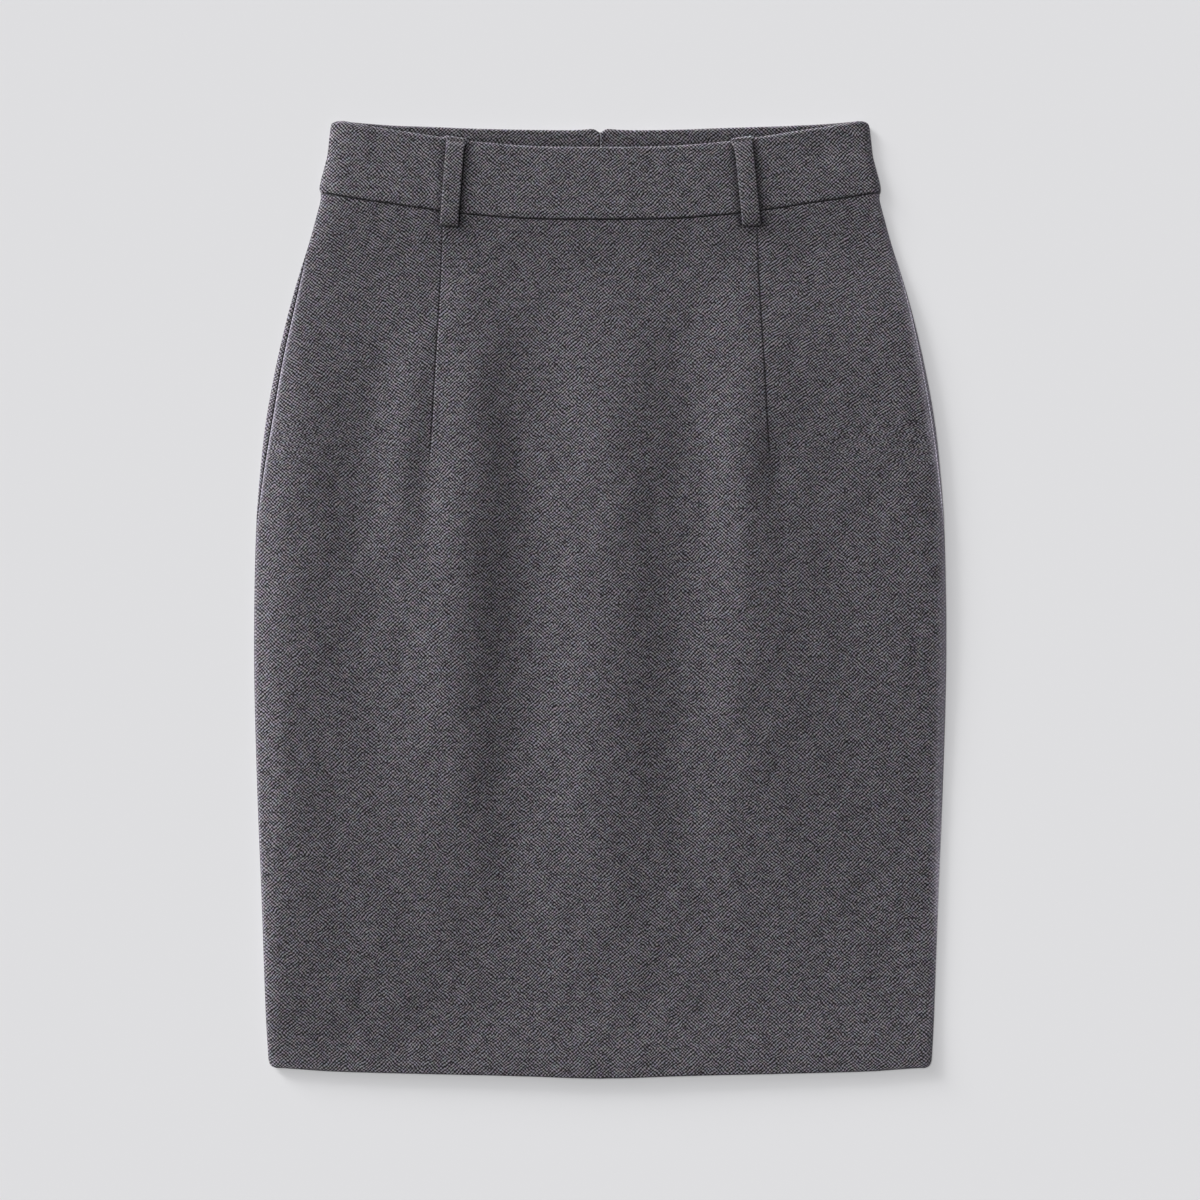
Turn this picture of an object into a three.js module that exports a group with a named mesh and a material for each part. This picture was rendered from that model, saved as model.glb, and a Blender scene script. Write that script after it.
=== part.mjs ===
import * as THREE from "three";

// A pencil skirt of heavy double knit, laid flat with its back on the surface. Lengths are millimetres:
// X runs across the skirt, Y from the hem to the waist, and Z up. Places along the skirt are given as
// "down", the distance below the waistband's top corner at the side.

// Lengths: the whole skirt at its middle, its band, the rise of the hem's ends over its middle, and how
// much shorter the back is than the front. The rows are level within "levelReach" of the side.
const skirtLength = 622.6;
const bandHeight = 47.2;
const hemRise = 6.7;
const hemCurve = 1.25;
const backShorter = 1;
const levelReach = 5;
const sideLength = skirtLength - hemRise;
const topLevel = skirtLength / 2;

// Cloth, as it lies
const seamGap = 0.3;
const panelThickness = 1.6;
const bandThickness = 3.0;
const loopThickness = 2.2;
const groove = 0.5;
const foldedEdge = 0.8;

// Rolled sides of the flattened tube: how far the roll reaches in, above and below, and the height of
// its outermost line
const panelSide = { rollAbove: 22, rollBelow: 4, middle: 2.0, thickness: panelThickness };
const bandSide = { rollAbove: 12, rollBelow: 5, middle: 3.3, thickness: bandThickness };
const plainSeam = THREE.MathUtils.degToRad(8);

// Heights of the front's outer face above the surface: between the folds, on the band, just under it and
// at the hem, and its lift along the sides
const restHeight = 3.9;
const lowestHeight = 3.7;
const bandFace = 7.0;
const waistFace = 5.9;
const hemFace = 4.2;
const sideLift = { height: 1.0, reach: 45 };

// How far from the band and from the hem the folds begin and are full
const belowBand = { begin: 12, full: 110 };
const aboveHem = { begin: 40, full: 150 };

// Half the skirt's width down its side
const outline = [
  { down: 0, half: 170.8 },
  { down: 1.6, half: 173.2 },
  { down: 4.5, half: 174.6 },
  { down: 21.7, half: 176.9 },
  { down: 29.5, half: 178.6 },
  { down: 37.3, half: 180.9 },
  { down: 44, half: 182.1 },
  { down: 47.2, half: 181.4 },
  { down: 51, half: 181.4 },
  { down: 64.6, half: 184.9 },
  { down: 77.6, half: 188.1 },
  { down: 116.6, half: 200.2 },
  { down: 155.6, half: 210.0 },
  { down: 194.6, half: 217.2 },
  { down: 233.6, half: 221.5 },
  { down: 272.6, half: 223.4 },
  { down: 350.6, half: 224.7 },
  { down: 428.6, half: 222.6 },
  { down: 506.6, half: 219.6 },
  { down: 584.6, half: 217.0 },
  { down: 606, half: 216.0 },
  { down: 611.5, half: 214.6 },
  { down: 614.4, half: 212.4 },
  { down: sideLength, half: 208.8 },
];

// The waist line: its dip at the middle of the front and the back, and its rise to the sides, where
// "out" is the share of the half width
const waistDip = { front: 16.4, back: 5.8 };
const waistLine = [
  { out: 0, front: 0, back: 0 },
  { out: 0.26, front: 0.04, back: 0.01 },
  { out: 0.5, front: 0.23, back: 0.15 },
  { out: 0.68, front: 0.49, back: 0.36 },
  { out: 0.77, front: 0.69, back: 0.47 },
  { out: 0.86, front: 0.85, back: 0.63 },
  { out: 1, front: 1, back: 1 },
];

// The strip of each back panel that rolls over onto the front of the hip
const hipStrip = [
  { down: 84, left: 0, right: 0 },
  { down: 116, left: 3.2, right: 1.0 },
  { down: 155, left: 4.0, right: 2.2 },
  { down: 194, left: 4.5, right: 2.4 },
  { down: 233, left: 2.0, right: 1.2 },
  { down: 266, left: 0, right: 0 },
];

// The front darts: how far out each lies and how deep its crease is
const frontDart = [
  { down: 60, out: 102, depth: 1.0 },
  { down: 102, out: 103.4, depth: 1.0 },
  { down: 158, out: 106.8, depth: 0.8 },
  { down: 208, out: 109.6, depth: 0.4 },
  { down: 226, out: 111, depth: 0 },
  { down: sideLength, out: 108, depth: 0 },
];
const creaseReach = 2.5;

// Soft folds of the front: where each ridge lies across at the hip, how it drifts for each millimetre
// down, its height and spread, and where it starts and ends
const folds = [
  { across: -182, drift: 0, height: 1.7, spread: 20, start: 100, end: 400 },
  { across: -84, drift: -0.025, height: 2.8, spread: 27, start: 80, end: 580 },
  { across: 6.5, drift: 0, height: 2.6, spread: 26, start: 110, end: 610 },
  { across: 96, drift: 0.03, height: 2.7, spread: 26, start: 80, end: 570 },
  { across: 170, drift: 0.02, height: 1.4, spread: 28, start: 120, end: 520 },
];
const foldFade = 110;
const hipLevel = 200;
const dartDimple = { down: 232, out: 114, depth: 0.7, spread: 13, stretch: 2 };

// The middle of the back's top edge, where the two band ends meet in a small notch
const backNotch = [
  { out: 0, rise: -1.4 },
  { out: 1.8, rise: -0.6 },
  { out: 3.5, rise: 0.5 },
  { out: 6, rise: 0.8 },
  { out: 12, rise: 0.3 },
  { out: 20, rise: 0 },
];
const notchFade = 12;

// Belt loops: the middle of each end, the width, and the bump that each one's end makes in the top edge
const loopTop = { out: 93.3, down: 12.8 };
const loopEnd = { out: 98, down: 67.3 };
const loopWidth = 12.4;
const loopBump = { height: 1.6, half: 5.5, blend: 3 };
const loopRise = [
  { along: 0, lift: 0.3 },
  { along: 0.06, lift: 0.9 },
  { along: 0.25, lift: 1.5 },
  { along: 0.5, lift: 1.6 },
  { along: 0.78, lift: 1.4 },
  { along: 0.89, lift: 0.9 },
  { along: 0.95, lift: 0.1 },
  { along: 1, lift: -0.7 },
];
const loopSection = [
  { across: -1, thick: 0.5 },
  { across: -0.8, thick: 0.9 },
  { across: 0, thick: 1 },
  { across: 0.8, thick: 0.9 },
  { across: 1, thick: 0.5 },
];

const { smoothstep, clamp, lerp } = THREE.MathUtils;

// Reads one column of a table at a place, with a smooth curve through its rows.
function read(table, key, column, place) {
  const last = table.length - 1;
  let i = 0;
  while (i < last - 1 && place > table[i + 1][key]) i += 1;
  const slopeAt = (k) => {
    const before = table[Math.max(k - 1, 0)];
    const after = table[Math.min(k + 1, last)];
    return (after[column] - before[column]) / (after[key] - before[key]);
  };
  const span = table[i + 1][key] - table[i][key];
  const t = clamp((place - table[i][key]) / span, 0, 1);
  const start = table[i][column];
  const end = table[i + 1][column];
  const ease = t * t * (3 - 2 * t);
  const leave = t * (1 - t) * (1 - t) * span * slopeAt(i);
  const arrive = t * t * (1 - t) * span * slopeAt(i + 1);
  return lerp(start, end, ease) + leave - arrive;
}

// Evenly spaced values from one end to the other, both included.
function spaced(start, end, cells) {
  return Array.from({ length: cells + 1 }, (_, i) => lerp(start, end, i / cells));
}

// Places between stops, each stretch cut into its own number of cells.
function stopsCut(stops, cells) {
  const cut = cells.flatMap((n, i) => spaced(stops[i], stops[i + 1], n).slice(0, n));
  return [...cut, stops.at(-1)];
}

const halfWidth = (down) => read(outline, "down", "half", down);

// How far a row's line lies below its end at the side: the waist's dip above and the hem's fall below.
function fall(x, down, face) {
  const out = Math.min(Math.abs(x) / (halfWidth(down) - levelReach), 1);
  const below = clamp((down - bandHeight) / (sideLength - bandHeight), 0, 1);
  const dip = waistDip[face] * (1 - read(waistLine, "out", face, out)) * (1 - below) ** 2;
  return dip + hemRise * (1 - out ** hemCurve) * below ** 3;
}

// Height of the front panel's outer face, with its folds and the dimples under the darts.
function panelFace(x, down) {
  let z = restHeight;
  for (const fold of folds) {
    const ridge = fold.across + fold.drift * (down - hipLevel);
    const fadeIn = smoothstep(down, fold.start, fold.start + foldFade);
    const fadeOut = 1 - smoothstep(down, fold.end - foldFade, fold.end);
    z += fold.height * fadeIn * fadeOut * Math.exp(-(((x - ridge) / fold.spread) ** 2));
  }
  const dimpleDown = (down - dartDimple.down) / dartDimple.stretch;
  const fromDimple = Math.hypot(Math.abs(x) - dartDimple.out, dimpleDown);
  z -= dartDimple.depth * Math.exp(-((fromDimple / dartDimple.spread) ** 2));
  z += sideLift.height * smoothstep(Math.abs(x), halfWidth(down) - sideLift.reach, halfWidth(down));
  const nearHem = smoothstep(down, sideLength - aboveHem.full, sideLength - aboveHem.begin);
  const nearBand = 1 - smoothstep(down, bandHeight + belowBand.begin, bandHeight + belowBand.full);
  return lerp(lerp(Math.max(z, lowestHeight), hemFace, nearHem), waistFace, nearBand);
}

// Height of the crease that a dart's seam draws in the panel.
function dartCrease(x, down) {
  const fromDart = Math.abs(Math.abs(x) - read(frontDart, "down", "out", down));
  return read(frontDart, "down", "depth", down) * Math.max(1 - fromDart / creaseReach, 0);
}

// A column on the rolled side above its outermost line: an angle of 0 is that line, and 90 degrees the
// place where the roll meets the flat.
function aboveSide(row, side, angle, shift = 0) {
  const { rollAbove, middle, thickness } = row.side;
  const reach = row.half - rollAbove;
  const x = reach + rollAbove * Math.cos(angle);
  const rise = row.face(side * x, row.down + fall(x, row.down, row.lies)) - middle;
  const along = new THREE.Vector2(-rollAbove * Math.sin(angle), rise * Math.cos(angle));
  along.setLength(shift);
  const outer = [x + along.x, middle + rise * Math.sin(angle) + along.y];
  const innerX = reach + (rollAbove - thickness) * Math.cos(angle) + along.x;
  const inner = [innerX, middle + (rise - thickness) * Math.sin(angle) + along.y];
  const flatness = Math.sin(angle);
  return { outer: [side * outer[0], outer[1]], inner: [side * inner[0], inner[1]], flatness };
}

// A column on the rolled side below its outermost line.
function belowSide(row, side, angle) {
  const { rollBelow, middle, thickness } = row.side;
  const reach = row.half - rollBelow;
  const outerX = reach + rollBelow * Math.cos(angle);
  const innerX = reach + (rollBelow - thickness) * Math.cos(angle);
  return {
    outer: [side * outerX, middle * (1 + Math.sin(angle))],
    inner: [side * innerX, middle + (middle - thickness) * Math.sin(angle)],
    flatness: -Math.sin(angle),
  };
}

// A column of the front between its rolled sides.
function onTop(row, x) {
  const z = row.face(x, row.down + fall(x, row.down, row.lies));
  return { outer: [x, z], inner: [x, z - row.side.thickness], flatness: 1 };
}

// A column of the back, flat on the surface.
function onFloor(row, x) {
  return { outer: [x, 0], inner: [x, row.side.thickness], flatness: 1 };
}

// The columns of a front piece from the left side to the right. "places" are those between the rolls.
function frontColumns(row, places, rollCells) {
  const edge = (side) => {
    const seam = row.seam[side < 0 ? "left" : "right"];
    const angles = spaced(seam, Math.PI / 2, rollCells).slice(0, rollCells);
    return angles.map((angle, i) => aboveSide(row, side, angle, i ? 0 : seamGap / 2));
  };
  return [...edge(-1), ...places.map((x) => onTop(row, x)), ...edge(1).reverse()];
}

// The columns of a back piece from the centre-back seam round to its side seam.
function backColumns(row, side, floorCells) {
  const seam = row.seam[side < 0 ? "left" : "right"];
  const floor = spaced(0, 1, floorCells).slice(0, floorCells);
  const flat = floor.map((t) => lerp(seamGap / 2, row.half - row.side.rollBelow, t ** 1.2));
  const below = spaced(-Math.PI / 2, 0, 3);
  return [
    ...flat.map((x) => onFloor(row, side * x)),
    ...below.map((angle) => belowSide(row, side, angle)),
    aboveSide(row, side, seam / 2),
    aboveSide(row, side, seam, -seamGap / 2),
  ];
}

// Puts a row's columns at their places along the skirt. "raise" moves an edge up, "sink" and "crease"
// draw the outer face in, and "fold" the inner one, all of them only where the piece lies flat.
function placed(row, columns) {
  return columns.map(({ outer, inner, flatness }) => {
    const y = topLevel - row.down - fall(outer[0], row.down, row.lies) + row.raise(outer[0]);
    const inward = Math.sign(inner[1] - outer[1]) * flatness;
    const drawn = row.sink + row.crease(outer[0], topLevel - y);
    return {
      outer: new THREE.Vector3(outer[0], y, outer[1] + inward * drawn),
      inner: new THREE.Vector3(inner[0], y, inner[1] - inward * row.fold),
    };
  });
}

// A row of a piece with what most rows share.
function rowOf(down, side, face, lies, changes = {}) {
  const seam = { left: plainSeam, right: plainSeam };
  const plain = { seam, sink: 0, fold: 0, raise: () => 0, crease: () => 0 };
  return { down, half: halfWidth(down), side, face, lies, ...plain, ...changes };
}

// A closed wall of cloth between the outer and the inner points of its rows, with a rim round its edge.
function clothWall(name, rows, colour) {
  const width = rows[0].length;
  const outerPoints = rows.flat().map((column) => column.outer);
  const innerPoints = rows.flat().map((column) => column.inner);
  const under = outerPoints.length;
  const faces = [];
  const quad = (a, b, c, d) => faces.push([a, b, c], [a, c, d]);
  for (let r = 0; r + 1 < rows.length; r += 1) {
    for (let c = 0; c + 1 < width; c += 1) {
      const a = r * width + c;
      quad(a, a + width, a + width + 1, a + 1);
      quad(under + a, under + a + 1, under + a + width + 1, under + a + width);
    }
  }
  const lastRow = (rows.length - 1) * width;
  const rowStarts = rows.map((_, r) => r * width);
  const columnNumbers = rows[0].map((_, c) => c);
  const rim = [
    ...rowStarts,
    ...columnNumbers.slice(1).map((c) => lastRow + c),
    ...rowStarts.slice(0, -1).reverse().map((start) => start + width - 1),
    ...columnNumbers.slice(1, -1).reverse(),
  ];
  rim.forEach((p, i) => {
    const q = rim[(i + 1) % rim.length];
    if (p < q) {
      quad(p, under + p, under + q, q);
    } else {
      quad(q, p, under + p, under + q);
    }
  });
  const points = [...outerPoints, ...innerPoints];
  const volume = faces.reduce((sum, [a, b, c]) => {
    return sum + points[a].dot(points[b].clone().cross(points[c]));
  }, 0);
  const facingOut = volume > 0 ? faces : faces.map(([a, b, c]) => [a, c, b]);
  const geometry = new THREE.BufferGeometry().setFromPoints(points);
  geometry.setIndex(facingOut.flat());
  geometry.computeVertexNormals();
  const material = new THREE.MeshStandardMaterial({ color: colour, roughness: 0.95, metalness: 0 });
  const mesh = new THREE.Mesh(geometry, material);
  mesh.name = name;
  return mesh;
}

// Where the side seam lies on the roll, from the width of the back's strip that shows.
function seamAngles(down) {
  const angle = (side) => {
    const strip = Math.max(read(hipStrip, "down", side, down), 0);
    return Math.max(Math.acos(1 - strip / panelSide.rollAbove), plainSeam);
  };
  return { left: angle("left"), right: angle("right") };
}

// The rows of the panels, close together at the waist seam and round the hem's corners
const panelRows = [
  bandHeight + seamGap / 2,
  bandHeight + 4,
  ...spaced(bandHeight + 14, 590, 26),
  603,
  611,
  614,
  sideLength,
];

function frontPanel() {
  const rows = panelRows.map((down, i) => {
    const changes = { seam: seamAngles(down), sink: i ? 0 : groove, crease: dartCrease };
    const row = rowOf(down, panelSide, panelFace, "front", changes);
    const reach = row.half - panelSide.rollAbove;
    const dart = read(frontDart, "down", "out", down);
    const half = [dart - creaseReach, dart, dart + creaseReach, reach];
    const stops = [...half.toReversed().map((x) => -x), 0, ...half];
    const places = stopsCut(stops, [8, 1, 1, 10, 10, 1, 1, 8]);
    return placed(row, frontColumns(row, places, 4));
  });
  return clothWall("skirt_front", rows, 0x545255);
}

function backPanel(name, side) {
  const rows = panelRows.map((down) => {
    const atHem = down === sideLength ? backShorter : 0;
    const half = halfWidth(down);
    const raise = (x) => atHem * (1 - smoothstep(Math.abs(x), half - 60, half - 10));
    const row = rowOf(down, panelSide, panelFace, "back", { seam: seamAngles(down), raise });
    return placed(row, backColumns(row, side, 7));
  });
  return clothWall(name, rows, 0x514f53);
}

// The rows of a band piece, with its folded top edge and its groove at the waist seam.
function bandRows(lies, edgeRise, columns) {
  const edge = [
    { down: 0, sink: foldedEdge, fold: foldedEdge },
    { down: 2, sink: 0.1, fold: 0 },
    { down: 8, sink: 0, fold: 0 },
    { down: 21, sink: 0, fold: 0 },
    { down: 34, sink: 0, fold: 0 },
    { down: 44, sink: 0, fold: 0 },
    { down: bandHeight - seamGap / 2, sink: groove, fold: 0 },
  ];
  return edge.map(({ down, sink, fold }) => {
    const fade = Math.max(1 - down / notchFade, 0);
    const changes = { sink, fold, raise: (x) => fade * edgeRise(x) };
    const row = rowOf(down, bandSide, () => bandFace, lies, changes);
    return placed(row, columns(row));
  });
}

function frontBand() {
  const { height, half, blend } = loopBump;
  const rise = (x) => {
    const fromLoop = Math.abs(Math.abs(x) - loopTop.out);
    return height * (1 - smoothstep(fromLoop, half, half + blend));
  };
  const rows = bandRows("front", rise, (row) => {
    const bump = [-half - blend, -half, half, half + blend].map((d) => loopTop.out + d);
    const stops = [...bump, row.half - bandSide.rollAbove];
    const both = [...stops.toReversed().map((x) => -x), 0, ...stops];
    return frontColumns(row, stopsCut(both, [4, 1, 2, 1, 6, 6, 1, 2, 1, 4]), 4);
  });
  return clothWall("waistband_front", rows, 0x545257);
}

function backBand(name, side) {
  const rise = (x) => read(backNotch, "out", "rise", Math.min(Math.abs(x), backNotch.at(-1).out));
  const rows = bandRows("back", rise, (row) => {
    const floor = [...backNotch.slice(1).map(({ out }) => out), ...spaced(45, 160, 5)];
    const flat = [seamGap / 2, ...floor].map((x) => onFloor(row, side * x));
    return [...flat, ...backColumns(row, side, 1).slice(1)];
  });
  return clothWall(name, rows, 0x514f54);
}

// A belt loop: a strip that lies on the band from its top edge to just below the waist seam.
function beltLoop(name, side) {
  const top = new THREE.Vector2(side * loopTop.out, topLevel - loopTop.down);
  const end = new THREE.Vector2(side * loopEnd.out, topLevel - loopEnd.down);
  const across = end.clone().sub(top).normalize().rotateAround(new THREE.Vector2(), Math.PI / 2);
  const rows = loopRise.map(({ along, lift }) => {
    return loopSection.map((place) => {
      const middle = top.clone().lerp(end, along);
      const at = middle.addScaledVector(across, (place.across * loopWidth) / 2);
      const under = bandFace + lift;
      return {
        outer: new THREE.Vector3(at.x, at.y, under + loopThickness * place.thick),
        inner: new THREE.Vector3(at.x, at.y, under),
      };
    });
  });
  return clothWall(name, rows, 0x4f4d51);
}

const skirt = new THREE.Group();
skirt.add(frontPanel());
skirt.add(backPanel("skirt_back_left", -1));
skirt.add(backPanel("skirt_back_right", 1));
skirt.add(frontBand());
skirt.add(backBand("waistband_back_left", -1));
skirt.add(backBand("waistband_back_right", 1));
skirt.add(beltLoop("belt_loop_left", -1));
skirt.add(beltLoop("belt_loop_right", 1));

export default skirt;
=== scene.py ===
"""A pencil skirt of heavy grey double knit, laid flat on its back on a pale floor."""

import math

import bpy
import numpy as np
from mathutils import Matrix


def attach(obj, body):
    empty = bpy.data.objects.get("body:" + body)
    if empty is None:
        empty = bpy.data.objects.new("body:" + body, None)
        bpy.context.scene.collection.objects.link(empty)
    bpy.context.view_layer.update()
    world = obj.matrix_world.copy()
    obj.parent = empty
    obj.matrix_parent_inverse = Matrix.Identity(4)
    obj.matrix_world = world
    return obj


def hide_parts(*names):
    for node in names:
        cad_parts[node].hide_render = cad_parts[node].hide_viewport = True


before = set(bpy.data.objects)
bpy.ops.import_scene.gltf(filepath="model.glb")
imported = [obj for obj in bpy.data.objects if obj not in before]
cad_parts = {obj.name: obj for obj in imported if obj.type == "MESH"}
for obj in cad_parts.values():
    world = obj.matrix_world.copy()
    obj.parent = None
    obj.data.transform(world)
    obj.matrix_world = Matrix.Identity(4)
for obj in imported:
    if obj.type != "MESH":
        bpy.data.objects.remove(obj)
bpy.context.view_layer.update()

# Shapes are worked out in millimetres and made in metres. X runs across the skirt, Y from the hem to the
# waist and Z up. "down" is the distance below the waistband's top corner at the side.
MM = 0.001


def table(columns, rows):
    """Rows of values under named columns."""
    return [dict(zip(columns, row)) for row in rows]


# Lengths: the whole skirt at its middle, its band, and the rise of the hem's ends over its middle
SKIRT_LENGTH = 622.6
BAND_HEIGHT = 47.2
HEM_RISE = 6.7
BACK_SHORTER = 1.0
SIDE_LENGTH = SKIRT_LENGTH - HEM_RISE
TOP_LEVEL = SKIRT_LENGTH / 2
LEVEL_REACH = 5.0

# Cloth and seams as they lie
SEAM_GAP = 0.3
PANEL_THICK = 1.6
BAND_THICK = 3.0
LOOP_THICK = 2.2
PLAIN_SEAM = math.radians(8)

# Rolled sides, from the waist down: how far in the roll reaches above its outermost line, how far it rises
# from there to the face, the least height of that line, and how strong a painted highlight its rim gets, for
# how far in. The left side lies in a wide soft roll and the right side in a tight one.
ROLL_COLUMNS = ("down", "above", "rise", "least", "rim_light", "reach")
PANEL_ROLL = {
    "left": table(ROLL_COLUMNS, [
        (47, 15, 2.6, 1.9, 0.3, 1.5),
        (160, 18, 3.1, 1.9, 0.25, 1.8),
        (280, 19, 3.3, 1.9, 0.75, 2.4),
        (430, 16, 2.7, 2.2, 0.65, 1.8),
        (616, 9, 1.5, 2.6, 0.2, 2.0),
    ]),
    "right": table(ROLL_COLUMNS, [
        (47, 4, 1.2, 1.9, 1.3, 2.2),
        (150, 4, 1.2, 1.9, 1.8, 2.8),
        (280, 4, 1.2, 2.2, 2.2, 3.0),
        (430, 4, 1.0, 2.8, 2.2, 3.6),
        (540, 4, 0.8, 3.2, 1.0, 2.4),
        (616, 4, 0.8, 3.2, 0.5, 2.4),
    ]),
}
BAND_ROLL = {
    "left": table(ROLL_COLUMNS, [
        (0, 14, 2.8, 3.2, 0.2, 2.0),
        (48, 20, 3.5, 3.2, 0.2, 2.0),
    ]),
    "right": table(ROLL_COLUMNS, [
        (0, 6, 1.8, 3.2, 0.8, 2.2),
        (48, 6, 1.8, 3.2, 0.8, 2.2),
    ]),
}

# A panel's and a band's cloth: its rolls above and below the side's outermost line, its thickness, and how
# wide it turns over at its first and last row and at its sides
PANEL_CLOTH = {
    "roll": PANEL_ROLL,
    "below": 4.0,
    "thick": PANEL_THICK,
    "first": 0.5,
    "last": 0.8,
    "side": 0.45,
}
BAND_CLOTH = {
    "roll": BAND_ROLL,
    "below": 5.0,
    "thick": BAND_THICK,
    "first": 1.5,
    "last": 0.5,
    "side": 0.7,
}

# The least share of its thickness that a turned edge keeps, and the heights where a side's painted rim
# highlight fades in
LEAST_EDGE = 0.06
RIM_LIGHT_FADE = {"begin": 0.6, "full": 2.0}

# Heights of the front's outer face: between the folds, on the band, just under it and at the hem.
# The whole front bulges a little: BULGE_OUT from its middle it lies lower by BULGE, near the hem by less.
REST_HEIGHT = 5.0
BAND_FACE = 7.6
WAIST_FACE = 6.6
HEM_FACE = 6.2
BULGE = 2.4
BULGE_OUT = 200
BULGE_EASE = {"begin": 350.0, "full": 600.0, "share": 0.5}
BELOW_BAND = {"begin": 3.0, "full": 60.0}
ABOVE_HEM = {"begin": 2.0, "full": 45.0}

# The front band sinks at its top right corner, and the back band's inner face rises towards its top edge,
# away from its side
TOP_CORNER = {"sink": 1.3, "begin": 105, "full": 185, "level": 14, "end": 34}
BACK_FACE_LIFT = {"height": 1.3, "reach": 14.0, "begin": 4, "full": 24}

# The outline: half the skirt's width at each place down its side
OUTLINE = table(("down", "half"), [
    (0, 172.2),
    (1.6, 174.5),
    (4.5, 175.5),
    (21.7, 177.5),
    (29.5, 179.3),
    (37.3, 181.4),
    (44, 182.7),
    (47.2, 182.0),
    (51, 181.9),
    (64.6, 185.4),
    (77.6, 189.0),
    (116.6, 200.7),
    (155.6, 210.1),
    (194.6, 217.3),
    (233.6, 221.6),
    (272.6, 224.2),
    (350.6, 225.2),
    (428.6, 223.3),
    (506.6, 220.1),
    (584.6, 217.3),
    (606, 216.1),
    (611, 215.7),
    (613.6, 214.9),
    (615, 213.6),
    (SIDE_LENGTH, 211.4),
])

# The waist line: its dip at the middle of the front and the back, and the share of it that is made up
# towards each side
WAIST_DIP = {"front": 17.2, "back": 5.8}
WAIST_LINE = table(("out", "front_left", "front_right", "back_left", "back_right"), [
    (0, 0, 0, 0, 0),
    (0.26, 0.035, 0.035, 0.04, 0.04),
    (0.5, 0.225, 0.225, 0.19, 0.27),
    (0.68, 0.475, 0.475, 0.4, 0.43),
    (0.77, 0.61, 0.625, 0.475, 0.535),
    (0.86, 0.745, 0.755, 0.63, 0.655),
    (0.93, 0.865, 0.875, 0.8, 0.81),
    (1, 1, 1, 1, 1),
])

# The hem line: the share of its drop that is left at each place out from the middle
HEM_LINE = table(("out", "low"), [
    (0, 1),
    (0.1, 0.94),
    (0.2, 0.82),
    (0.35, 0.69),
    (0.55, 0.56),
    (0.75, 0.415),
    (0.86, 0.3),
    (0.94, 0.13),
    (1, 0),
])

# The strip of each back panel that rolls over onto the front of the hip
HIP_STRIP = table(("down", "left", "right"), [
    (84, 0, 0),
    (116, 2.6, 1.0),
    (155, 3.4, 2.2),
    (194, 3.9, 2.4),
    (233, 1.8, 1.2),
    (266, 0, 0),
])

# The front darts: how far out each lies, how deep the left and right creases are, and how dark the painted
# shade along them is
DART_TIP = {"down": 228, "out": 111}
FRONT_DART = table(("down", "out", "left", "right", "left_dark", "right_dark"), [
    (60, 102, 0.22, 0.08, 0.32, 0.6),
    (102, 103.4, 0.28, 0.1, 0.32, 0.78),
    (158, 106.8, 0.4, 0.12, 0.45, 0.82),
    (208, 109.6, 0.32, 0.1, 0.4, 0.75),
    (DART_TIP["down"], DART_TIP["out"], 0, 0, 0, 0),
    (SIDE_LENGTH, 108, 0, 0, 0, 0),
])

# A dart's crease: its spread, the reach of its fine columns, the slight hollow beside it and the reach of
# its painted shade line. Outside a dart the knit is turned about its tip, in full from a little way above it.
CREASE_SPREAD = 0.55
CREASE_REACH = 3.0
CREASE_HOLLOW = {"share": 0.5, "reach": 6}
CREASE_SHADE_REACH = 0.7
DART_TURN = {"angle": math.radians(5), "fade": 40}

# Soft folds of the front, as ridges: where each crest crosses the hip, how far it drifts across in each
# 100 mm down, its height, how far its flanks reach, where it starts and over what length it fades in, and
# where it ends and over what length it fades out
FOLDS = table(("across", "drift", "height", "left", "right", "start", "in", "end", "out"), [
    (-196, -5.9, 3.7, 33, 39, 75, 162, 674, 144),
    (-129, -7.7, 2.3, 17, 15, 100, 138, 333, 145),
    (-86, -1.9, 3.2, 31, 27, 72, 128, 606, 300),
    (-114, -14.0, 2.1, 48, 57, 194, 98, 680, 103),
    (11, -3.9, 3.5, 44, 42, 64, 147, 640, 298),
    (98, -2.2, 3.6, 33, 74, 58, 117, 589, 285),
    (104, 11.6, 1.0, 30, 14, 153, 60, 334, 133),
    (216, 2.2, 3.6, 60, 70, 40, 101, 510, 209),
])
HIP_LEVEL = 250.0
DART_DIMPLE = {"down": 232, "out": 114, "depth": 0.9, "spread": 13, "stretch": 2}

# The middle of the back's top edge, where the two band ends meet in a small notch
BACK_NOTCH = table(("out", "rise"), [
    (0, -1.6),
    (1.8, -0.6),
    (3.5, 0.5),
    (6, 0.8),
    (12, 0.3),
    (20, 0),
])
NOTCH_FADE = 12.0

# Belt loops: how far out the middle of each end is, how much wider each is inwards where it is folded over
# at its top, the bump that this end makes in the band's top edge, how far each lies above the band along
# its length, and how much fuller its middle is than its edges
LOOP_TOP = {"left": 93.7, "right": 92.7, "down": 12.8}
LOOP_END = {"left": 98.0, "right": 98.5, "down": 68.9}
LOOP_WIDTH = 11.9
LOOP_FLARE = {"left": 1.3, "right": 2.2, "reach": 4.0}
LOOP_TURN = 0.6
LOOP_BUMP = {"height": 1.6, "half": 5.5, "blend": 3.0}
LOOP_RISE = table(("along", "lift"), [
    (0, 0.3),
    (0.06, 1.1),
    (0.25, 2.0),
    (0.5, 2.3),
    (0.78, 2.1),
    (0.89, 1.4),
    (0.95, 0.5),
    (1, -0.5),
])
LOOP_CROWN = 0.25
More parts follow.
